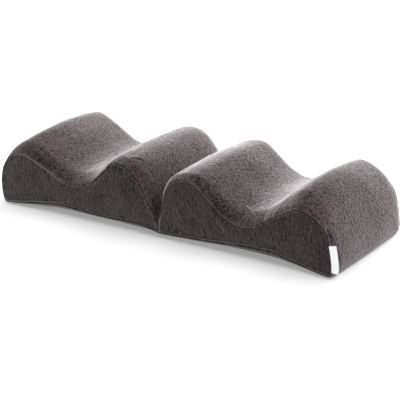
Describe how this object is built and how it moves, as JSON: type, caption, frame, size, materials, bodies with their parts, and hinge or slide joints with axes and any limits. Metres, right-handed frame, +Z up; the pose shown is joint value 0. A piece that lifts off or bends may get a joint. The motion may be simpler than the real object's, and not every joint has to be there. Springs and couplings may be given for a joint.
{
  "type": "double leg pillow",
  "caption": "Foam leg pillow lying open: two humped halves, each with a leg saddle, in one velour cover that folds at the middle.",
  "frame": {"origin": "on the floor plane, on the base panel's flat underside at the middle of the fold", "axes": "+X along the pillow towards the half with the tag, +Y across it from the front to the back, +Z up"},
  "size_m": [0.5198, 0.1734, 0.1],
  "materials": {
    "velour": "short-pile velour with a fine pebbled emboss, over viscoelastic foam",
    "base_velour": "the same velour, plain underneath",
    "tag_ribbon": "woven satin ribbon, blank"
  },
  "bodies": {
    "root": {"half_left": "velour", "half_right": "velour", "base_panel": "base_velour", "label": "tag_ribbon"}
  },
  "joints": []
}
